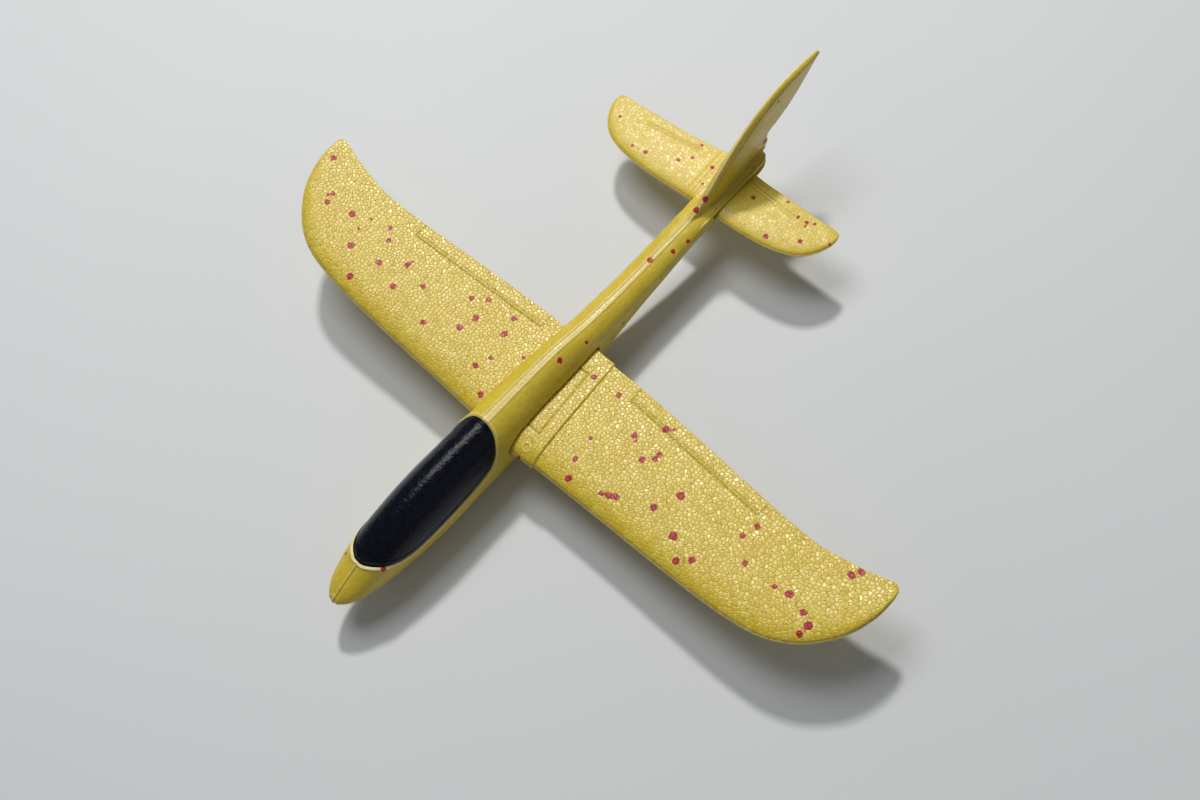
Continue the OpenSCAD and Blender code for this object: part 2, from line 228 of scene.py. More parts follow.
def grid_faces(rows, cols, wrap=False, start=0, flip=False):
    i, j = np.meshgrid(np.arange(rows - 1), np.arange(cols if wrap else cols - 1), indexing="ij")
    k = (j + 1) % cols
    q = np.stack([i * cols + j, i * cols + k, (i + 1) * cols + k, (i + 1) * cols + j], -1)
    q = q.reshape(-1, 4) + start
    return (q[:, ::-1] if flip else q).tolist()


def loft(name, rings, flip=False):
    """Closed skin over rings of points, with a fan at each end."""
    rings = np.asarray(rings)
    n, m = rings.shape[:2]
    verts = np.vstack([rings.reshape(-1, 3), rings[0].mean(0), rings[-1].mean(0)])
    faces = grid_faces(n, m, wrap=True, flip=flip)
    for j in range(m):
        k = (j + 1) % m
        first, last = [n * m, k, j], [n * m + 1, (n - 1) * m + j, (n - 1) * m + k]
        faces += [first[::-1], last[::-1]] if flip else [first, last]
    return new_object(name, verts, faces)


def prism(name, outline, lo, hi, axis=0):
    """Outline in the two other axes, from lo to hi along axis."""
    outline = np.asarray(outline, float)
    n = len(outline)
    rings = [np.insert(outline, axis, v, axis=1) for v in (lo, hi)]
    faces = [[i, (i + 1) % n, n + (i + 1) % n, n + i] for i in range(n)]
    faces += [list(range(n))[::-1], [n + i for i in range(n)]]
    obj = new_object(name, np.vstack(rings), faces)
    fix_outside(obj)
    return obj


def fix_outside(obj):
    """Turns a closed mesh right side out."""
    mesh = obj.data
    mesh.calc_loop_triangles()
    co = coords(mesh)
    tri = np.array([t.vertices[:] for t in mesh.loop_triangles])
    a, b, c = co[tri[:, 0]], co[tri[:, 1]], co[tri[:, 2]]
    if np.einsum("ij,ij->i", a, np.cross(b, c)).sum() < 0:
        mesh.flip_normals()


def coords(mesh):
    co = np.empty(len(mesh.vertices) * 3, np.float32)
    mesh.vertices.foreach_get("co", co)
    return co.reshape(-1, 3).astype(float)


def set_coords(mesh, co):
    mesh.vertices.foreach_set("co", np.asarray(co, np.float32).ravel())
    mesh.update()


def normals(mesh):
    n = np.empty(len(mesh.vertices) * 3, np.float32)
    mesh.vertex_normals.foreach_get("vector", n)
    return n.reshape(-1, 3).astype(float)


def bake(obj):
    """Applies the object's modifiers to its mesh."""
    bpy.context.view_layer.update()
    graph = bpy.context.evaluated_depsgraph_get()
    mesh = bpy.data.meshes.new_from_object(obj.evaluated_get(graph))
    obj.modifiers.clear()
    obj.data = mesh
    return obj


def combine(obj, tool, operation):
    mod = obj.modifiers.new("cut", "BOOLEAN")
    mod.operation, mod.solver, mod.object = operation, "MANIFOLD", tool
    bake(obj)
    bpy.data.objects.remove(tool)


def remesh(obj, voxel, rounds):
    mod = obj.modifiers.new("even", "REMESH")
    mod.mode, mod.voxel_size, mod.adaptivity = "VOXEL", voxel, 0.0
    if rounds:
        mod = obj.modifiers.new("soften", "SMOOTH")
        mod.factor, mod.iterations = 0.5, rounds
    bake(obj)


def put_attribute(mesh, name, values):
    values = np.asarray(values, np.float32)
    kind = "FLOAT_VECTOR" if values.ndim == 2 else "FLOAT"
    attribute = mesh.attributes.new(name, kind, "POINT")
    attribute.data.foreach_set("vector" if values.ndim == 2 else "value", values.ravel())


def nearest_spot(points, spots):
    """Nearest crimson bead to each point: its place and radius."""
    spots = np.asarray(spots, float)
    place, radius = np.zeros_like(points), np.zeros(len(points))
    best = np.full(len(points), 1e9)
    for s in spots:
        d = np.linalg.norm(points - s[:-1], axis=1) - s[-1]
        closer = d < best
        best[closer], place[closer], radius[closer] = d[closer], s[:-1], s[-1]
    return place, radius


def ripple(p, size, seed):
    """Soft unevenness, mostly between -1 and 1, at points p: waves of about the given size."""
    waves = 7
    rng = np.random.default_rng(seed)
    total = np.zeros(len(p))
    for _ in range(waves):
        direction = rng.normal(size=3)
        direction *= 2 * math.pi / (size * rng.uniform(0.7, 1.5)) / np.linalg.norm(direction)
        total += np.sin(p @ direction + rng.uniform(0, 6.28))
    return total * 2 / waves


def finish_mesh(obj, matrix=None):
    """Puts the mesh in the part's frame, in metres, and shades it smooth."""
    scale = Matrix.Scale(MM, 4)
    obj.data.transform(scale if matrix is None else scale @ matrix)
    obj.data.polygons.foreach_set("use_smooth", [True] * len(obj.data.polygons))
    obj.data.update()


# ---------------------------------------------------------------- wing and tailplane
def rise_at(x, half, rise):
    return rise * (0.05 * np.abs(x) / half + 0.95 * (x / half) ** 2)


def chord_steps(n):
    cosine = (1 - np.cos(np.pi * np.arange(n + 1) / n)) / 2
    return 0.4 * cosine + 0.6 * np.linspace(0, 1, n + 1)


def tip_rows(rows, span, chord, step):
    """Row numbers past row 1 to the tip, about step apart on the longer edge."""
    t = np.linspace(1, len(rows) - 1, 2000)
    r = curve(rows, t) * np.array([span / 2, chord, span / 2, chord, 1])
    hop = np.maximum(np.hypot(np.diff(r[:, 0]), np.diff(r[:, 1])),
                     np.hypot(np.diff(r[:, 2]), np.diff(r[:, 3])))
    length = np.concatenate([[0], np.cumsum(hop)])
    return np.interp(np.linspace(0, length[-1], int(length[-1] / step) + 1), length, t)[1:]


def foil_surface(rows, span, le, chord, thick, rise, block, step):
    """Grid of a wing, with columns along both edges of its root block and a steep wall there.
    Returns points [column, loop, 3], the loop's chord shares and sides (1 above, -1 below), and
    1 for each point on the block."""
    wall = 0.22
    n = int(chord / step)
    u = np.concatenate([chord_steps(n), chord_steps(n)[::-1]])
    side = np.concatenate([np.ones(n + 1), -np.ones(n + 1)])
    inner_end = rows[1, 0] * span / 2
    edge = block[0] + (block[1] - block[0]) * u
    across = np.linspace(-1, 1, 2 * int(block[0] / step) + 1)
    skin = np.linspace(0, 1, int((inner_end - block[0]) / step))
    half = [("skin", v) for v in skin] + [("row", v) for v in tip_rows(rows, span, chord, step)]
    columns = [(kind, v, -1) for kind, v in half[::-1]] + [("block", v, 1) for v in across]
    columns += [(kind, v, 1) for kind, v in half]
    grid, on_block = [], []
    for kind, v, hand in columns:
        if kind == "row":
            front_x, front_y, rear_x, rear_y, share = curve(rows, v)
            x = span / 2 * (front_x + (rear_x - front_x) * u)
            y = le + chord * (front_y + (rear_y - front_y) * u)
        else:
            x = v * edge if kind == "block" else (edge + wall) * (1 - v) + inner_end * v
            r = curve(rows, np.clip(np.abs(x) / inner_end, 0, 1))
            y = le + chord * (r[:, 1] + (r[:, 3] - r[:, 1]) * u)
            share = r[:, 4]
        h = np.maximum(thick * share * section_half(u),
                       BLUNT_WING * np.minimum(1, u / BLUNT_SHARE))
        z = np.where(side > 0, ABOVE, -BELOW) * h + EDGE * side + rise_at(x, span / 2, rise)
        grid.append(np.stack([hand * x, y, z], -1))
        on_block.append(np.full(len(u), float(kind == "block")))
    return np.array(grid), u, side, np.array(on_block)


def foil_object(name, grid):
    """Closed mesh over the grid, its two end loops zipped flat."""
    cols, m = grid.shape[:2]
    faces = grid_faces(cols, m, wrap=True)
    for end, base in ((0, 0), (1, (cols - 1) * m)):
        for j in range(m // 2 - 1):
            q = [base + j, base + j + 1, base + m - 2 - j, base + m - 1 - j]
            faces.append(q if end else q[::-1])
    obj = new_object(name, grid.reshape(-1, 3), faces)
    fix_outside(obj)
    return obj


class Foil:
    """A wing or tailplane before its relief: its object, and where each point lies on it."""

    def __init__(self, name, *surface):
        self.grid, u, self.side, on_block = foil_surface(*surface)
        columns = len(self.grid)
        self.obj = foil_object(name, self.grid)
        self.mesh = self.obj.data
        self.flat = self.grid.reshape(-1, 3)
        self.normal = normals(self.mesh)
        self.x, self.y = self.flat[:, 0], self.flat[:, 1]
        self.share = np.tile(u, columns)
        self.above = np.tile(self.side, columns) > 0
        self.on_block = on_block.ravel()
        hops = np.linalg.norm(np.diff(self.grid, axis=1), axis=2)
        self.run = np.concatenate([np.zeros((columns, 1)), np.cumsum(hops, 1)], 1)
        self.back = self.run[:, -1:] - self.run

    def put_beads(self, listed, seed, count, xs, ys, sizes, spread=1.0):
        """Bead coordinates, across the span and round the section from its front, and each
        point's nearest crimson bead: a listed one above, a random one below."""
        rng = np.random.default_rng(seed)
        under = [[rng.uniform(*xs), rng.uniform(*ys) + UNDERSIDE, rng.uniform(*sizes)]
                 for _ in range(count)]
        front = self.grid[:, :1, 1]
        around = np.where(self.side > 0, front + self.run, front + self.back + UNDERSIDE).ravel()
        straight = np.where(self.above, self.y, self.y + UNDERSIDE)
        spot, radius = nearest_spot(np.stack([self.x, straight, 0 * straight], -1),
                                    [[x, y, 0, r] for x, y, r in listed + under])
        spot[:, 1] += shift_at(spot, self.x, straight, around - straight)
        put_attribute(self.mesh, "bead", np.stack([self.x, around, 0 * around], -1))
        put_attribute(self.mesh, "spot", spot)
        put_attribute(self.mesh, "spot_r", spread * radius)

    def finish(self, shift, pivot, height, yaw, lean):
        """Seats the foil in its slot, turned about the slot's middle."""
        finish_mesh(self.obj, Matrix.Translation((shift, pivot, height))
                    @ Matrix.Rotation(math.radians(yaw), 4, "Z")
                    @ Matrix.Rotation(math.radians(lean), 4, "Y")
                    @ Matrix.Translation((0, -pivot, 0)))
        return self.obj


def shift_at(spot, x, y, shift):
    """How far the bead coordinates are shifted at each spot, read from its nearest vertex."""
    out = np.zeros(len(spot))
    keys, index = np.unique(spot.round(3), axis=0, return_inverse=True)
    index = index.ravel()
    for k, place in enumerate(keys):
        mine = np.nonzero(index == k)[0]
        d = np.hypot(x[mine] - place[0], y[mine] - place[1])
        out[mine] = shift[mine[np.argmin(d)]]
    return out


def build_wing():
    foil = Foil("wing_foam", WING_ROWS, WING_SPAN, WING_LE, ROOT_CHORD, WING_THICK, TIP_RISE,
                WING_BLOCK, 0.62)
    y, on_block = foil.y, foil.on_block
    ax = np.abs(foil.x)
    # raised root block, grown from the section as in the CAD
    grown = foil.flat.copy()
    rise = BLOCK_RISE * on_block
    grown[:, 1] += rise * (2 * foil.share - 1)
    grown[:, 2] += rise * np.where(foil.above, 2 * ABOVE, -2 * BELOW) * section_half(foil.share)
    # the block's inner panel, a little sunk inside a fine groove, and its moulding bosses
    panel_half = PANEL_HALF - PANEL_TAPER * (y - PANEL_FRONT)
    panel = (smooth(panel_half - ax, -0.35, 0.35) * smooth(y - PANEL_FRONT, -0.4, 0.4)
             * smooth(PANEL_REAR - y, -0.4, 0.4))
    sides = bump(ax - panel_half, 0.45) * (y > PANEL_FRONT - 0.6) * (y < PANEL_REAR + 0.6)
    ends = bump(np.minimum(abs(y - PANEL_FRONT), abs(y - PANEL_REAR)), 0.45) * (ax < panel_half)
    line = np.maximum(sides, ends) * on_block
    d = -0.3 * panel * on_block - 0.55 * line
    # painted light for the wing: highlight above zero, shade below zero
    painted_light = np.zeros(len(y))
    on_top = on_block * foil.above
    for bx, by, radius, high in BOSSES:
        r = np.hypot(ax - bx, y - by)
        ring = on_top * bump(r - radius, 0.5)
        d += high * (1.3 * ring - 0.5 * on_top * smooth(radius - r, 0, 0.8))
        # painted highlight on each boss's ring
        painted_light = np.maximum(painted_light, high * ring)
    # aileron outline: a double hinge groove and a groove at each end
    (in_x, in_y), (out_x, out_y) = AILERON_IN, AILERON_OUT
    along = ramp(ax - in_x, -0.3, 0.3) * ramp(out_x - ax, -0.3, 0.3)
    off = y - (in_y + (out_y - in_y) / (out_x - in_x) * (ax - in_x))
    groove = np.maximum(bump(off, 0.55), 0.75 * bump(off - 2.3, 0.5)) * along
    for end_x, end_y in (AILERON_IN, AILERON_OUT):
        groove = np.maximum(groove, bump(ax - end_x, 0.5) * (y > end_y))
    d += 0.2 * bump(off - 1.15, 0.6) * along - 0.42 * groove
    # parting line round the front edge: a fine rim with a shallow groove each side of it
    edge = np.minimum(foil.run, foil.back).ravel()
    rim = bump(edge, 0.55)
    d += 0.5 * rim - 0.3 * bump(edge - 1.4, 0.5)
    # painted highlight along the front rim, painted shade in the panel's outline and the aileron
    # grooves
    painted_light = np.maximum(painted_light, rim) - 1.3 * line - 0.8 * groove
    # soft unevenness of moulded foam
    d += 0.07 * ripple(foil.flat, size=26, seed=3) + 0.035 * ripple(foil.flat, size=7, seed=5)
    set_coords(foil.mesh, grown + foil.normal * d[:, None])
    foil.put_beads(WING_BEADS, seed=11, count=46, xs=(-225, 225), ys=(6, 70), sizes=(1, 2.2),
                   spread=WING_BEAD_SPREAD)
    put_attribute(foil.mesh, "painted_light", painted_light)
    return foil.finish(WING_SHIFT, WING_PIVOT, WING_Z, WING_YAW, WING_LEAN)


def build_tail():
    foil = Foil("tailplane_foam", TAIL_ROWS, TAIL_SPAN, TAIL_LE, TAIL_CHORD, TAIL_THICK, 0,
                TAIL_BLOCK, 0.6)
    y, ax = foil.y, np.abs(foil.x)
    # root block with two ribs on each side of its middle and a groove outside it
    ribs = np.maximum(bump(ax - 2.2, 0.5), 0.8 * bump(ax - 4.6, 0.5))
    d = (0.4 * foil.on_block + 0.3 * ribs
         - 0.2 * bump(ax - 3.4, 0.5) - 0.2 * bump(ax - 7.6, 0.5))
    # elevator outline: a double hinge groove
    in_x, in_y = ELEVATOR_IN
    along = ramp(ax, in_x - 0.6, in_x) * ramp(ELEVATOR_OUT - ax, -1, 0)
    off = y - (in_y + ELEVATOR_SLOPE * (ax - in_x))
    groove = np.maximum(bump(off, 0.5), 0.8 * bump(off + 2.4, 0.45)) * along
    d += 0.2 * bump(off + 1.2, 0.6) * along - 0.3 * groove
    edge = np.minimum(foil.run, foil.back).ravel()
    rim = bump(edge, 0.5)
    d += 0.35 * rim - 0.25 * bump(edge - 1.1, 0.4)
    d += 0.05 * ripple(foil.flat, size=22, seed=8) + 0.02 * ripple(foil.flat, size=6, seed=9)
    set_coords(foil.mesh, foil.flat + foil.normal * d[:, None])
    foil.put_beads(TAIL_BEADS, seed=12, count=15, xs=(-80, 80), ys=(203, 230), sizes=(1, 1.9))
    # painted highlight on the front rim and the ribs, painted shade in the elevator groove
    put_attribute(foil.mesh, "painted_light",
                  np.maximum(rim, 0.5 * ribs * (y > TAIL_LE + 4)) - 0.4 * groove)
    return foil.finish(TAIL_SHIFT, TAIL_PIVOT, TAIL_Z, TAIL_YAW, -TAIL_LEAN)


# ---------------------------------------------------------------- fuselage
def body_loft(name, ys, inset=0.0, around=96):
    """Closed skin of the body over places ys, shrunk by inset."""
    a = 2 * np.pi * np.arange(around) / around
    obj = loft(name, [body_points(np.full(around, y), a, inset) for y in ys])
    fix_outside(obj)
    return obj


def whole_length():
    """Places from nose to tail, closer together over the two round ends."""
    step, tip = 1.5, 0.05
    nose = NOSE_Y + NOSE_ROUND * (1 - np.cos(np.linspace(0, np.pi / 2, 26)))
    nose[0] += tip
    end = END_Y - END_ROUND + END_ROUND * np.sin(np.linspace(0, np.pi / 2, 14))
    end[-1] -= tip
    return np.concatenate([nose, np.arange(nose[-1] + step, end[0] - 0.5 * step, step), end])


def fin_edges():
    """Leading and trailing edges of the fin in y and z, and its share of the root's thickness."""
    t = np.linspace(0, len(FIN_ROWS) - 1, 120)
    r = curve(FIN_ROWS, t)
    tall = FIN_TOP - FIN_BASE
    lead = np.stack([r[:, 0], FIN_BASE + tall * r[:, 1]], -1)
    trail = np.stack([r[:, 2], FIN_BASE + tall * r[:, 3]], -1)
    return lead, trail, r[:, 4]


def build_fin():
    lead, trail, share = fin_edges()
    u = np.concatenate([chord_steps(40), chord_steps(40)[::-1]])
    side = np.repeat([-1.0, 1.0], len(u) // 2)
    rings = []
    for a, b, s in zip(lead, trail, share):
        yz = a + (b - a) * u[:, None]
        h = EDGE + np.maximum(0.5 * FIN_THICK * s * section_half(u),
                              BLUNT_FIN * np.minimum(1, u / BLUNT_SHARE))
        up = (yz[:, 1] - FIN_BASE) / (FIN_TOP - FIN_BASE)
        rings.append(np.stack([side * h + FIN_SET * np.maximum(0, up), yz[:, 0], yz[:, 1]], -1))
    obj = loft("fin_form", rings)
    fix_outside(obj)
    return obj


def wing_slot_outline():
    """The wing's root section in y and z, grown past its block by the slot's room."""
    grow = BLOCK_RISE + SLOT_ROOM
    u = (1 - np.cos(np.pi * np.arange(33) / 32)) / 2
    y = WING_LE - grow + (ROOT_CHORD + 2 * grow) * u
    h = (WING_THICK + 2 * grow) * section_half(u)
    upper = np.stack([y, ABOVE * h + EDGE], -1)
    lower = np.stack([y, -BELOW * h - EDGE], -1)[::-1]
    return np.vstack([upper, lower]) + [SLOT_FORWARD, WING_Z + SLOT_UP]


def canopy_outline(grow):
    """Side view of the recess for the canopy, open upwards."""
    edge = canopy_edge(120)
    edge[:, 1] -= grow
    (front, _), (rear, _) = CANOPY_EDGE[0], CANOPY_EDGE[-1]
    return np.vstack([edge, [[rear + grow, RECESS_TOP], [front - grow, RECESS_TOP]]])


def box_outline(y0, y1, z0, z1):
    return [[y0, z0], [y1, z0], [y1, z1], [y0, z1]]


def rounded_box(y, z, cy, cz, hy, hz, r):
    """Signed distance to a rounded rectangle in y and z."""
    dy, dz = np.abs(y - cy) - (hy - r), np.abs(z - cz) - (hz - r)
    return np.hypot(np.maximum(dy, 0), np.maximum(dz, 0)) + np.minimum(np.maximum(dy, dz), 0) - r


def spine_gap(y):
    """Half the distance between the two ridges along the spine."""
    (start, wide), (end, narrow) = SPINE_START, SPINE_END
    return wide - (wide - narrow) * ramp(y, start, end)


def near_edge(points):
    """Distance from each point to the canopy's lower edge on the body's skin."""
    edge = canopy_edge(600)
    half, waist, top, bottom = body_section(edge[:, 0])
    rise = edge[:, 1] - waist
    rise = rise / np.where(rise > 0, top - waist, waist - bottom)
    on_skin = rise < 1
    x = (half * np.sqrt(np.clip(1 - rise**2, 0, 1)))[on_skin]
    yz = edge[on_skin]
    both = np.column_stack([np.repeat(x, 2), np.repeat(yz, 2, axis=0)])
    both[::2, 0] *= -1
    tree = KDTree(len(both))
    for place, point in enumerate(both):
        tree.insert(point, place)
    tree.balance()
    return np.array([tree.find(p)[2] for p in points])


def cut_body():
    """The plain body and fin with the canopy's recess, the ballast pocket and the two slots."""
    obj = body_loft("fuselage_foam", whole_length())
    combine(obj, build_fin(), "UNION")
    recess = prism("recess", canopy_outline(RECESS_GAP), -RECESS_REACH, RECESS_REACH)
    core = body_loft("core", np.arange(RECESS_FRONT, RECESS_REAR, 1.5), RECESS_DEPTH)
    combine(recess, core, "DIFFERENCE")
    combine(obj, recess, "DIFFERENCE")
    turn = np.arange(40) * np.pi / 20
    ring = np.stack([POCKET_R * np.cos(turn), POCKET_Y + POCKET_R * np.sin(turn)], -1)
    combine(obj, prism("pocket", ring, POCKET_FLOOR, PAST_TOP, axis=2), "DIFFERENCE")
    tail_slot = box_outline(TAIL_LE - TAIL_SLOT_FRONT, PAST_END,
                            TAIL_Z - TAIL_SLOT_BELOW, TAIL_Z + TAIL_SLOT_ABOVE)
    below = box_outline(-PAST_END, PAST_END, -PAST_UNDER, 0)
    for name, outline in (("slot", wing_slot_outline()), ("tail_slot", tail_slot),
                          ("below", below)):
        combine(obj, prism(name, outline, -PAST_SIDE, PAST_SIDE), "DIFFERENCE")
    remesh(obj, voxel=0.5, rounds=2)
    return obj


def body_relief(co, n):
    """How far each point moves along its normal, and how much painted highlight its raised marks
    get.
    """
    x, y, z = co.T
    half, waist, crest, bottom = body_section(np.clip(y, NOSE_Y + 0.1, END_Y - 0.1))
    reach = np.hypot(x / half, (z - waist) / np.where(z > waist, crest - waist, waist - bottom))
    skin = smooth(reach, 0.95, 0.975)
    # two fine ridges along the spine, and a finer line halfway between them
    upper = smooth(n[:, 2], 0.3, 0.7) * smooth(y, -3.5, -1) * (z > crest - 6) * skin
    gap = spine_gap(y)
    ridge = np.maximum(bump(x - gap, 0.55), bump(x + gap, 0.55))
    d = upper * (0.6 * ridge + 0.15 * bump(x, 0.45) - 0.15 * (np.abs(x) < gap - 0.6))
    # painted highlight on the two ridges and, fainter, on the strip between them
    painted_light = upper * np.maximum(0.8 * ridge, 0.35 * smooth(gap - np.abs(x), -0.3, 0.3))
    # parting ridge over the nose, with a groove on its port side
    nose = ((1 - smooth(y, -121.5, -119.5)) * smooth(n[:, 2] + 0.35 * (y < -135), -0.1, 0.3)
            * (z > NOSE_Z - 4))
    d += nose * (0.5 * bump(x - 0.3, 0.6) - 0.45 * bump(x - 1.7, 0.6))
    # painted highlight along the parting ridge
    painted_light = np.maximum(painted_light, 0.45 * nose * bump(x - 0.3, 0.6))
    # thin raised lip of foam round the canopy
    near = np.full(len(co), FAR)
    front = (y < 3) & (z > 25)
    near[front] = near_edge(co[front])
    lip = skin * bump(near - 1.0, 0.6)
    d += 0.6 * lip
    # painted highlight on the lip, stronger towards the nose
    painted_light = np.maximum(painted_light, 1.6 * lip * (1 - 0.6 * smooth(y, -70, -40)))
    # raised pads round the two slots, on both flanks, and a fold in front of the rear one
    flank = smooth(np.abs(n[:, 0]), 0.35, 0.7)
    pad = rounded_box(y, z, *TAIL_PAD)
    d += 0.8 * flank * smooth(-pad, -0.6, 0.9) * smooth(y, 188, 203) * smooth(z, 36.5, 39)
    fold = bump(x - 8.8, 0.8) * bump(y - 190.5, 3.4) * (z > waist)
    d += 0.6 * fold
    # painted highlight on the fold
    painted_light = np.maximum(painted_light, 0.8 * fold)
    d -= 0.25 * flank * bump(pad - 0.9, 0.5) * (y < 258) * (z < 53)
    wing_pad = rounded_box(y, z, *WING_PAD)
    d += 0.25 * flank * smooth(-wing_pad, -0.8, 1.0) * (y < 95) * (y > -20)
    # low steps along the foot of the fin
    foot = smooth(y, 196, 204) * (1 - smooth(y, 250, 256)) * skin * (z > crest - 5)
    d += 0.2 * foot * np.maximum(bump(np.abs(x) - 7.4, 0.4), bump(np.abs(x) - 5.6, 0.4))
    # rounded band along the fin's front edge, with a groove behind it
    lead = fin_edges()[0]
    lead = lead[lead[:, 1] > FIN_BASE]
    on_fin = (z > crest + 1.0) & (y > 185)
    behind = np.full(len(co), FAR)
    behind[on_fin] = np.linalg.norm(co[on_fin][:, None, 1:] - lead, axis=2).min(1)
    faces_out = smooth(np.abs(n[:, 0]), 0.3, 0.6)
    d += (0.2 * bump(behind - 1.4, 0.8) - 0.55 * bump(behind - 3.0, 0.75)) * faces_out
    # a small step at the tip of the nose
    d += 0.35 * smooth(4.2 - np.hypot(x, z - NOSE_Z), -0.4, 0.4) * (y < -140)
    d += 0.09 * ripple(co, size=24, seed=21) + 0.035 * ripple(co, size=7, seed=22)
    # the walls inside the slots stay as cut
    inside = (np.abs(x) < half - 1.6) & (z > 20) & (z < 48) & (z > bottom + 2) & (z < crest - 2)
    d[inside & (y > -10)] = 0
    return d, painted_light


def build_fuselage():
    obj = cut_body()
    mesh = obj.data
    co, n = coords(mesh), normals(mesh)
    d, painted_light = body_relief(co, n)
    moved = co + n * d[:, None]
    moved[:, 2] = np.maximum(moved[:, 2], 0)  # nothing goes below the flat rest
    set_coords(mesh, moved)
    place, radius = nearest_spot(co, BODY_BEADS)
    put_attribute(mesh, "bead", co)
    put_attribute(mesh, "spot", place)
    put_attribute(mesh, "spot_r", radius)
    put_attribute(mesh, "painted_light", painted_light)
    finish_mesh(obj)
    return obj


# ---------------------------------------------------------------- canopy
def distance_to(points, marks, chunk=4000):
    """Distance from each point to the nearest mark, worked out a chunk at a time."""
    near = [np.sqrt(((points[i:i + chunk, None] - marks[None]) ** 2).sum(-1)).min(1)
            for i in range(0, len(points), chunk)]
    return np.concatenate(near)


def build_canopy():
    """A formed shell over the recess: a grid between its lower edges, given a wall and a rim."""
    rows, cols = ((220, 150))
    edge = canopy_edge(1500)
    # from nose to tail, the part of the body whose top is above the canopy's lower edge
    run = np.arange(CANOPY_EDGE[0, 0], CANOPY_EDGE[-1, 0], 0.05)
    under = run[np.interp(run, edge[:, 0], edge[:, 1]) < body_section(run)[2] - 0.08]
    y = under[0] + (under[-1] - under[0]) * (1 - np.cos(np.pi * np.linspace(0, 1, rows))) / 2
    edge_z = np.interp(y, edge[:, 0], edge[:, 1])
    half, waist, top, bottom = body_section(y)
    rel = (edge_z - waist) / np.where(edge_z > waist, top - waist, waist - bottom)
    start = np.arcsin(np.clip(rel, -0.98, 0.9995))[:, None]
    angle = start + (np.pi - 2 * start) * np.linspace(0, 1, cols)[None, :]
    outer, inner = [body_points(np.repeat(y[:, None], cols, 1), angle, inset)
                    for inset in (CANOPY_OUTER, CANOPY_INNER)]
    # edge roll, and a fine moulded line just inside the rim with a groove beside it
    rim = np.concatenate([outer[:, 0], outer[:, -1], outer[0], outer[-1]])
    dist = distance_to(outer.reshape(-1, 3), rim)
    n = np.cross(np.gradient(outer, axis=1), np.gradient(outer, axis=0))
    n /= np.maximum(np.linalg.norm(n, axis=2, keepdims=True), 1e-9)
    if n[rows // 2, cols // 2, 2] < 0:
        n = -n
    n[0], n[-1] = n[1], n[-2]
    d = (-0.55 * (1 - smooth(dist, 0, 0.8)) + 0.4 * bump(dist - 2.8, 0.5)
         - 0.15 * bump(dist - 1.8, 0.5)).reshape(rows, cols)
    outer = outer + n * d[..., None]
    verts = np.vstack([outer.reshape(-1, 3), inner.reshape(-1, 3)])
    m = rows * cols
    faces = grid_faces(rows, cols) + grid_faces(rows, cols, start=m, flip=True)
    index = np.arange(m).reshape(rows, cols)
    loop = [*index[:, 0], *index[-1, 1:], *index[-2::-1, -1], *index[0, -2:0:-1]]
    faces += [[int(v) for v in (a, b, b + m, a + m)] for a, b in zip(loop, loop[1:] + loop[:1])]
    obj = new_object("canopy_shell", verts, faces)
    fix_outside(obj)
    finish_mesh(obj)
    obj.data.set_sharp_from_angle(angle=math.radians(55))
    return obj


# ---------------------------------------------------------------- materials
class Nodes:
    """Short way to write a node tree."""

    def __init__(self, name):
        self.material = bpy.data.materials.new(name)
        self.material.use_nodes = True
        self.tree = self.material.node_tree
        self.tree.nodes.clear()
        end = self.node("OutputMaterial")
        self.shader = self.node("BsdfPrincipled")
        self.feed(end.inputs[0], self.shader.outputs[0])

    def feed(self, socket, value):
        """Links or sets a socket, which may be one of the shader's by name."""
        if isinstance(socket, str):
            socket = self.shader.inputs[socket]
        if isinstance(value, bpy.types.NodeSocket):
            self.tree.links.new(value, socket)
        else:
            socket.default_value = value

    def node(self, kind, **settings):
        n = self.tree.nodes.new("ShaderNode" + kind)
        for k, v in settings.items():
            setattr(n, k, v)
        return n

    def math(self, op, a, b, clamp=False):
        n = self.node("Math", operation=op, use_clamp=clamp)
        self.feed(n.inputs[0], a)
        self.feed(n.inputs[1], b)
        return n.outputs[0]

    def vector(self, op, a, b=None, scale=None):
        n = self.node("VectorMath", operation=op)
        self.feed(n.inputs[0], a)
        if b is not None:
            self.feed(n.inputs[1], b)
        if scale is not None:
            self.feed(n.inputs["Scale"], scale)
        return n.outputs["Value"] if op in ("DISTANCE", "DOT_PRODUCT") else n.outputs[0]

    def attribute(self, name, vector=True):
        n = self.node("Attribute", attribute_name=name)
        return n.outputs["Vector"] if vector else n.outputs["Fac"]

    def noise(self, vector, scale, detail=2.0, rough=0.5, output="Fac"):
        n = self.node("TexNoise")
        self.feed(n.inputs["Vector"], vector)
        n.inputs["Scale"].default_value = scale
        n.inputs["Detail"].default_value = detail
        n.inputs["Roughness"].default_value = rough
        return n.outputs[output]

    def voronoi(self, vector, dims, feature="F1"):
        n = self.node("TexVoronoi", voronoi_dimensions=dims, feature=feature)
        self.feed(n.inputs["Vector"], vector)
        n.inputs["Scale"].default_value = 1.0
        n.inputs["Randomness"].default_value = 0.85
        return n

    def span(self, v, lo, hi, to_lo=0.0, to_hi=1.0, soft=True):
        n = self.node("MapRange", interpolation_type="SMOOTHSTEP" if soft else "LINEAR")
        self.feed(n.inputs["Value"], v)
        for key, val in (("From Min", lo), ("From Max", hi), ("To Min", to_lo), ("To Max", to_hi)):
            self.feed(n.inputs[key], val)
        return n.outputs["Result"]

    def mix(self, fac, a, b):
        n = self.node("Mix", data_type="RGBA")
        self.feed(n.inputs["Factor"], fac)
        self.feed(n.inputs[6], a)
        self.feed(n.inputs[7], b)
        return n.outputs[2]

    def bump(self, height, distance):
        """Relief in mm."""
        n = self.node("Bump")
        n.inputs["Distance"].default_value = distance * MM
        n.inputs["Strength"].default_value = 1.0
        self.feed(n.inputs["Height"], height)
        return n.outputs[0]


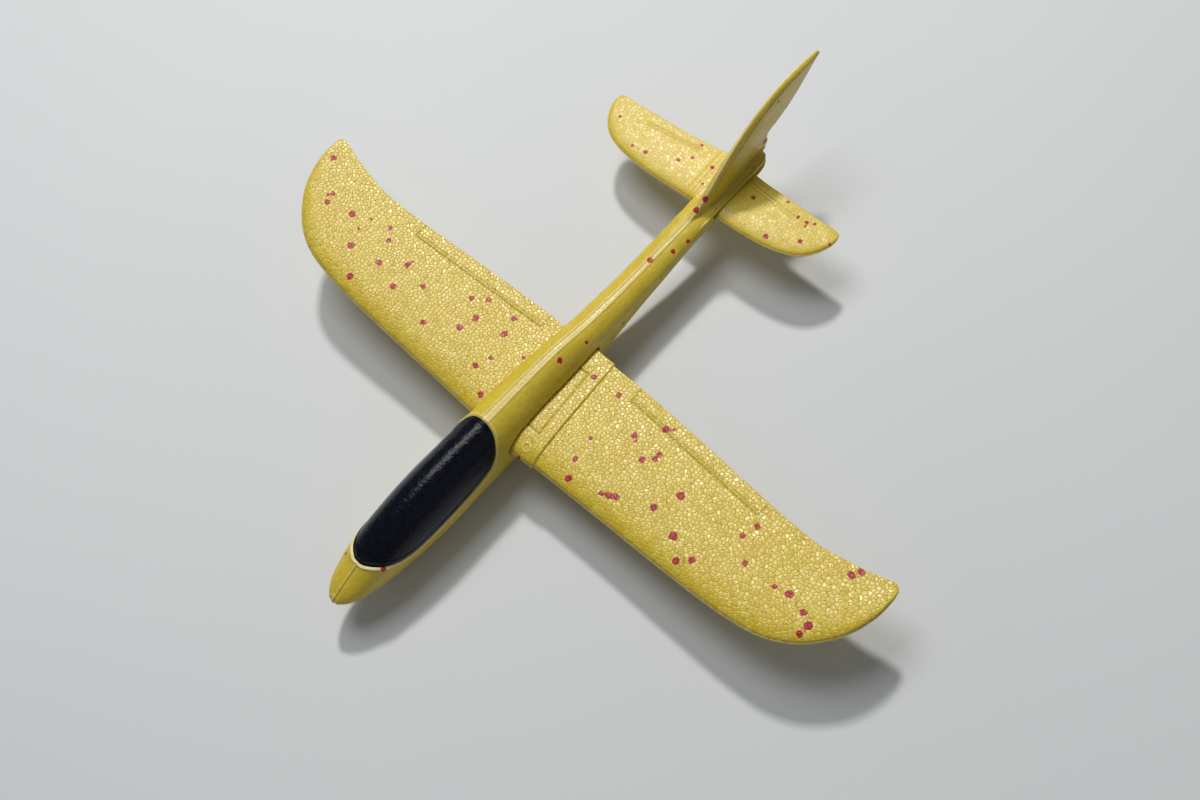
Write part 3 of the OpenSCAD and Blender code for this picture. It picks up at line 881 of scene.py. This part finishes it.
def foam(name, dims, relief, contrast, gloss):
    """Moulded bead foam: packed beads with their own tone and tilt, some of them crimson.
    relief is in mm, contrast is between the beads' tones, and gloss is their roughness."""
    cell, wobble = 2.5, 0.35  # size of a bead in mm, and how far its walls wander
    half = (0.5, 0.5, 0.5)
    m = Nodes(name)
    bead = m.attribute("bead")
    noise = m.noise(m.vector("SCALE", bead, scale=0.45), 1.0, output="Color")
    drift = m.vector("SCALE", m.vector("SUBTRACT", noise, half), scale=wobble)
    warped = m.vector("ADD", m.vector("SCALE", bead, scale=1 / cell), drift)
    beads = m.voronoi(warped, dims)
    edge = m.voronoi(warped, dims, "DISTANCE_TO_EDGE").outputs["Distance"]
    # three draws for each bead, and noise of three sizes over all of them
    draws = m.node("SeparateColor")
    m.feed(draws.inputs[0], beads.outputs["Color"])
    light, dark, polish = draws.outputs
    broad = m.noise(bead, 0.035, 3.0)
    patch = m.noise(bead, 0.12, 2.0)
    fine = m.noise(bead, 1.9, 3.0, 0.6)
    seam = m.span(edge, 0.015, 0.085, 1.0, 0.0)
    pit = m.math("MULTIPLY", m.span(edge, 0.0, 0.12, 1.0, 0.0),
                 m.span(m.noise(bead, 0.75, 2.0), 0.6, 0.72))
    # yellow: drifting over the piece, paler or deeper bead by bead, brown in seams and pits
    yellow = m.mix(m.span(patch, 0.3, 0.7), (0.61, 0.45, 0.022, 1), (0.67, 0.51, 0.034, 1))
    yellow = m.mix(m.span(broad, 0.4, 0.7), yellow, (0.65, 0.46, 0.026, 1))
    for factor, colour in (
            (m.math("MULTIPLY", m.span(light, 0.35, 1.0), contrast), (0.86, 0.73, 0.18, 1)),
            (m.math("MULTIPLY", m.span(dark, 0.5, 1.0), contrast * 0.8), (0.62, 0.40, 0.03, 1)),
            (m.math("MULTIPLY", seam, 0.32 * min(1, contrast * 2.2)), (0.42, 0.29, 0.04, 1)),
            (m.math("MULTIPLY", pit, 0.75), (0.16, 0.11, 0.03, 1))):
        yellow = m.mix(factor, yellow, colour)
    # painted highlight makes rims, ridges, lips and bosses paler, and painted shade darkens the
    # bottoms of the grooves
    painted_light_amount = m.attribute("painted_light", False)
    for strength, colour in ((0.6, (0.90, 0.82, 0.50, 1)), (-0.7, (0.27, 0.19, 0.015, 1))):
        yellow = m.mix(m.math("MULTIPLY", painted_light_amount, strength, clamp=True), yellow, colour)
    # crimson where this point, drawn part of the way to its bead's middle, is near a marked place
    middle = m.vector("SCALE", m.vector("SUBTRACT", beads.outputs["Position"], drift), scale=cell)
    here = bead
    if dims == "2D":
        middle, here = [m.vector("MULTIPLY", v, (1, 1, 0)) for v in (middle, bead)]
    drawn = m.vector("ADD", m.vector("SCALE", middle, scale=0.3),
                     m.vector("SCALE", here, scale=0.7))
    over = m.math("SUBTRACT", m.vector("DISTANCE", drawn, m.attribute("spot")),
                  m.attribute("spot_r", False))
    ragged = m.math("ADD", over, m.span(fine, 0.3, 0.7, -0.08, 0.08))
    red = m.span(ragged, -0.08, 0.08, 1.0, 0.0)
    crimson = m.mix(m.span(light, 0, 1), (0.36, 0.002, 0.010, 1), (0.44, 0.006, 0.024, 1))
    m.feed("Base Color", m.mix(red, yellow, crimson))
    rough = m.math("ADD", m.span(polish, 0, 1, gloss - 0.06, gloss + 0.10, False),
                   m.span(fine, 0.3, 0.7, -0.04, 0.05))
    rough = m.math("ADD", rough, m.math("MULTIPLY", red, 0.15))
    m.feed("Roughness", m.math("ADD", rough, m.math("MULTIPLY", seam, 0.12)))
    m.feed("Specular IOR Level", 0.62)
    m.feed("Coat Weight", 0.06)
    m.feed("Coat Roughness", 0.3)
    # relief: each bead is a low dome with its own tilt, and the skin has a fine grain
    offset = m.vector("SUBTRACT", warped, beads.outputs["Position"])
    lean = m.vector("DOT_PRODUCT", offset, m.vector("SUBTRACT", beads.outputs["Color"], half))
    height = m.math("ADD", m.math("MULTIPLY", m.span(edge, 0.0, 0.22), 0.55),
                    m.math("MULTIPLY", lean, 1.4))
    height = m.math("SUBTRACT", height, m.math("MULTIPLY", pit, 1.2))
    height = m.math("ADD", height, m.math("MULTIPLY", fine, 0.22))
    m.feed("Normal", m.bump(height, relief))
    return m.material


def black_plastic():
    """Glossy formed sheet with a leathery ripple."""
    m = Nodes("canopy_black")
    place = m.node("TexCoord").outputs["Object"]
    skin = m.noise(place, 560, 2.0, 0.5)
    wrinkle = m.noise(place, 260, 3.0, 0.6)
    m.feed("Base Color", m.mix(m.span(wrinkle, 0.3, 0.7), (0.0015, 0.002, 0.006, 1),
                               (0.004, 0.005, 0.011, 1)))
    m.feed("Roughness", m.span(wrinkle, 0.3, 0.7, 0.14, 0.24))
    m.feed("Specular IOR Level", 0.19)
    m.feed("Coat Weight", 0.08)
    m.feed("Coat Roughness", 0.12)
    height = m.math("ADD", skin, m.math("MULTIPLY", wrinkle, 0.6))
    m.feed("Normal", m.bump(height, 0.34))
    return m.material


def steel():
    """Turned steel, with fine rings round its upright axis."""
    m = Nodes("turned_steel")
    place = m.node("TexCoord").outputs["Object"]
    rings = m.noise(m.vector("MULTIPLY", place, (40, 40, 2500)), 1.0, 3.0)
    m.feed("Base Color", m.mix(rings, (0.42, 0.43, 0.45, 1), (0.6, 0.6, 0.61, 1)))
    m.feed("Roughness", m.span(rings, 0.3, 0.7, 0.25, 0.45))
    m.feed("Metallic", 1.0)
    m.feed("Normal", m.bump(rings, 0.02))
    return m.material


def dress(obj, material):
    obj.data.materials.clear()
    obj.data.materials.append(material)


# ---------------------------------------------------------------- the pieces
wing = build_wing()
dress(wing, foam("wing_bead_foam", "2D", relief=0.22, contrast=0.20, gloss=0.30))
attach(wing, "wing")
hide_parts("main_wing")

tail = build_tail()
dress(tail, foam("tail_bead_foam", "2D", relief=0.09, contrast=0.08, gloss=0.42))
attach(tail, "tail")
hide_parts("tailplane")

fuselage = build_fuselage()
dress(fuselage, foam("body_bead_foam", "3D", relief=0.06, contrast=0.10, gloss=0.34))
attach(fuselage, "fuselage")
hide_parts("fuselage")

canopy = build_canopy()
dress(canopy, black_plastic())
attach(canopy, "fuselage")
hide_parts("canopy")

dress(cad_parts["nose_ballast"], steel())


# ---------------------------------------------------------------- floor, lights, camera
def stage_floor():
    reach = 6.0
    corners = [[x * reach, y * reach, 0] for x, y in ((-1, -1), (1, -1), (1, 1), (-1, 1))]
    floor = new_object("floor", corners, [[0, 1, 2, 3]])
    m = Nodes("pale_floor")
    place = m.node("TexCoord").outputs["Object"]
    m.feed("Base Color", m.mix(m.noise(place, 3.0, 2.0), (0.66, 0.68, 0.70, 1),
                               (0.70, 0.715, 0.73, 1)))
    m.feed("Roughness", 0.75)
    m.feed("Specular IOR Level", 0.2)
    dress(floor, m.material)


def area_light(name, direction, distance, size, power, colour=(1, 1, 1)):
    """A square softbox that faces the glider from a direction."""
    light = bpy.data.lights.new(name, "AREA")
    light.shape, light.size, light.energy, light.color = "SQUARE", size, power, colour
    obj = bpy.data.objects.new(name, light)
    bpy.context.scene.collection.objects.link(obj)
    target = Vector((0, 0.05, 0.03))
    toward = Vector(direction).normalized()
    obj.location = target + toward * distance
    obj.rotation_euler = toward.to_track_quat("Z", "Y").to_euler()


def add_camera():
    """The camera at the angle and distance that the glider is looked at from."""
    right = Vector((0.71955, 0.68205, -0.13064))
    up = Vector((-0.61253, 0.71198, 0.34336))
    back = right.cross(up)
    camera = bpy.data.cameras.new("camera")
    camera.sensor_width, camera.lens = 36.0, 36.0
    camera.clip_start, camera.clip_end = 0.01, 50
    obj = bpy.data.objects.new("camera", camera)
    bpy.context.scene.collection.objects.link(obj)
    turn = Matrix((right, up, back)).transposed().to_4x4()
    obj.matrix_world = Matrix.Translation((0.2867, -0.0693, 0.74313)) @ turn
    bpy.context.scene.camera = obj


stage_floor()
area_light("key", (-0.54, 0.60, 1.0), distance=3.2, size=0.26, power=58,
           colour=(1.0, 0.975, 0.93))
area_light("overhead", (-0.37, 0.12, 0.92), distance=1.6, size=0.7, power=9)
area_light("fill", (0.8, 0.0, 0.55), distance=2.0, size=1.6, power=0.7, colour=(0.93, 0.96, 1.0))
world = bpy.data.worlds.new("studio")
bpy.context.scene.world = world
world.use_nodes = True
background = world.node_tree.nodes["Background"]
background.inputs["Color"].default_value = (0.92, 0.95, 1.0, 1)
background.inputs["Strength"].default_value = 0.16
bpy.context.scene.view_settings.view_transform = "Standard"
add_camera()
